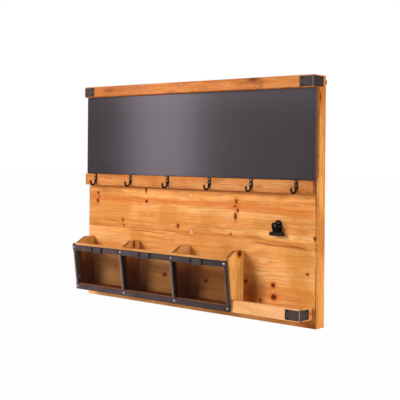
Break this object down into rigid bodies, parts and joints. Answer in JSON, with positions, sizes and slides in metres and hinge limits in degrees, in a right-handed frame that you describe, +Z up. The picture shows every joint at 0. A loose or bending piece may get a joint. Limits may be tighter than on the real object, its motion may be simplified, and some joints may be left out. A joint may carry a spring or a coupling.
{
  "type": "wall shelf",
  "caption": "Pine wall organiser with a blackboard, a rail of hooks, a letter box with a wire mesh front, a small ledge and a spring clip.",
  "frame": {"origin": "centre of the middle batten's back face, which lies against the wall", "axes": "+X to the object's right as seen from its front, -Y out of the front, +Y into the wall, +Z up"},
  "size_m": [0.8054, 0.1183, 0.6],
  "materials": {
    "pine": "oiled knotty pine",
    "blackboard": "matt painted board",
    "dark_steel": "satin, waxed",
    "black_metal": "satin black",
    "wire": "matt",
    "bright_steel": "satin"
  },
  "bodies": {
    "board": {"plank_lower": "pine", "plank_middle": "pine", "plank_upper": "pine", "batten_left": "pine", "batten_middle": "pine", "batten_right": "pine", "blackboard": "blackboard", "top_rail": "pine", "top_strap_left": "dark_steel", "top_strap_right": "dark_steel", "strap_nails": "black_metal", "hook_rail": "pine", "hook_1": "black_metal", "hook_2": "black_metal", "hook_3": "black_metal", "hook_4": "black_metal", "hook_5": "black_metal", "hook_6": "black_metal", "hook_screws": "bright_steel", "box_side_left": "pine", "divider_left": "pine", "divider_right": "pine", "box_side_right": "pine", "box_bottom": "pine", "lath_top": "pine", "lath_bottom": "pine", "post_1": "dark_steel", "post_2": "dark_steel", "post_3": "dark_steel", "post_4": "dark_steel", "strip_top": "dark_steel", "strip_bottom": "dark_steel", "mesh_left": "wire", "mesh_middle": "wire", "mesh_right": "wire", "front_nails": "bright_steel", "label_holder_left": "black_metal", "label_holder_middle": "black_metal", "label_holder_right": "black_metal", "label_pins": "black_metal", "ledge_rail": "pine", "ledge_end": "pine", "ledge_bottom": "pine", "ledge_strap": "dark_steel", "clip_back_plate": "black_metal", "clip_pin": "bright_steel", "clip_spring_back": "bright_steel", "clip_screw": "bright_steel", "hanger_left": "black_metal", "hanger_right": "black_metal", "hanger_screws": "bright_steel"},
    "clip_jaw": {"clip_front_plate": "black_metal", "clip_spring_front": "bright_steel"},
    "left_ring": {"ring_left": "black_metal"},
    "right_ring": {"ring_right": "black_metal"}
  },
  "joints": [
    {"name": "clip_hinge", "type": "hinge", "parent": "board", "child": "clip_jaw", "pos_m": [0.2895, -0.0515, -0.067], "axis": [-1, 0, 0], "range_deg": [0, 30], "stiffness_Nm_per_rad": 0.05, "springref_deg": -28.65},
    {"name": "left_ring_hinge", "type": "hinge", "parent": "board", "child": "left_ring", "pos_m": [-0.391, -0.0046, 0.288], "axis": [1, 0, 0], "range_deg": [0, 170]},
    {"name": "right_ring_hinge", "type": "hinge", "parent": "board", "child": "right_ring", "pos_m": [0.391, -0.0046, 0.288], "axis": [1, 0, 0], "range_deg": [0, 170]}
  ]
}
